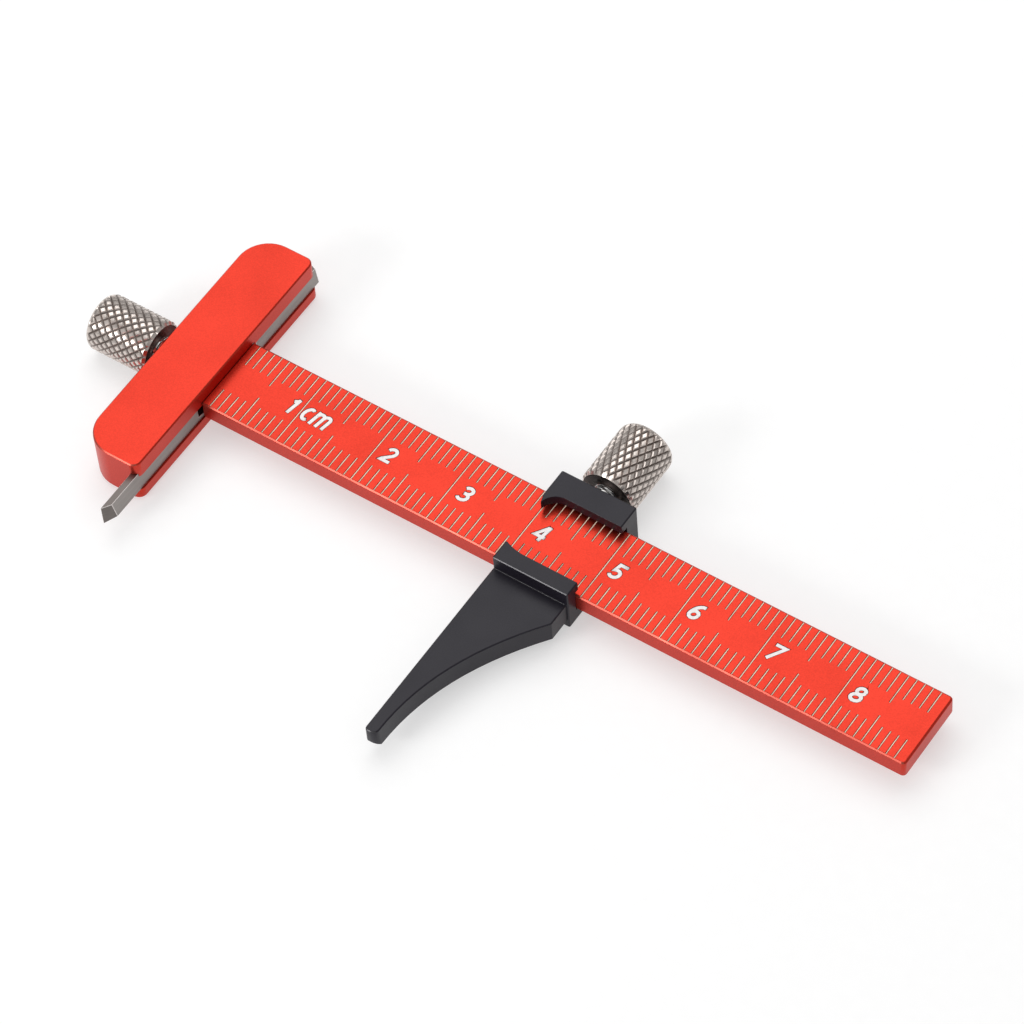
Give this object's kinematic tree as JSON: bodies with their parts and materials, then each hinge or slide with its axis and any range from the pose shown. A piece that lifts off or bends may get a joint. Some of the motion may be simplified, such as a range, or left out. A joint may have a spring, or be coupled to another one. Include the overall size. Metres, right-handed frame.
{
  "type": "marking gauge",
  "caption": "Small marking gauge with a graduated flat rule, a fixed head holding a scriber bar, and a sliding fence arm, each locked by a knurled thumbscrew.",
  "frame": {"origin": "on the head's front face, where the scale reads zero: in the middle of the rule's width, on the band below the rule that bears on a board's edge", "axes": "+X along the rule to its free end, +Y across the rule towards the fence's thumbscrew, +Z out of the scale face"},
  "size_m": [0.1076, 0.0485, 0.0068],
  "materials": {
    "red_anodised": "satin red anodised, with white filled scale marks on the rule",
    "black_anodised": "satin black anodised",
    "tool_steel": "ground tool steel",
    "nickel": "nickel plated, diamond knurled",
    "zinc_steel": "bright zinc plated thread"
  },
  "bodies": {
    "gauge": {"rule": "red_anodised", "head_block": "red_anodised", "rule_screw_1": "zinc_steel", "rule_screw_2": "zinc_steel"},
    "bar": {"scriber_bar": "tool_steel"},
    "head_screw": {"head_stud": "zinc_steel"},
    "head_grip": {"head_knob": "nickel"},
    "fence": {"fence_body": "black_anodised"},
    "fence_screw": {"fence_stud": "zinc_steel"},
    "fence_grip": {"fence_knob": "nickel"}
  },
  "joints": [
    {"name": "bar_slide", "type": "slide", "parent": "gauge", "child": "bar", "axis": [0, 1, 0], "range_m": [-0.0014, 0.0014]},
    {"name": "head_screw_travel", "type": "slide", "parent": "gauge", "child": "head_screw", "axis": [-1, 0, 0], "range_m": [0, 0.0018]},
    {"name": "head_knob_turn", "type": "hinge", "parent": "head_screw", "child": "head_grip", "pos_m": [-0.0129, -0.0006, 0.002], "axis": [-1, 0, 0], "range_deg": [0, 1440]},
    {"name": "fence_slide", "type": "slide", "parent": "gauge", "child": "fence", "axis": [1, 0, 0], "range_m": [-0.0397, 0.0408]},
    {"name": "fence_screw_travel", "type": "slide", "parent": "fence", "child": "fence_screw", "axis": [0, 1, 0], "range_m": [0, 0.0009]},
    {"name": "fence_knob_turn", "type": "hinge", "parent": "fence_screw", "child": "fence_grip", "pos_m": [0.0445, 0.0126, 0.002], "axis": [0, 1, 0], "range_deg": [0, 720]}
  ],
  "couplings": [
    {"joint": "head_knob_turn", "follows": "head_screw_travel", "rad_per_m": 13962},
    {"joint": "fence_knob_turn", "follows": "fence_screw_travel", "rad_per_m": 13962}
  ]
}
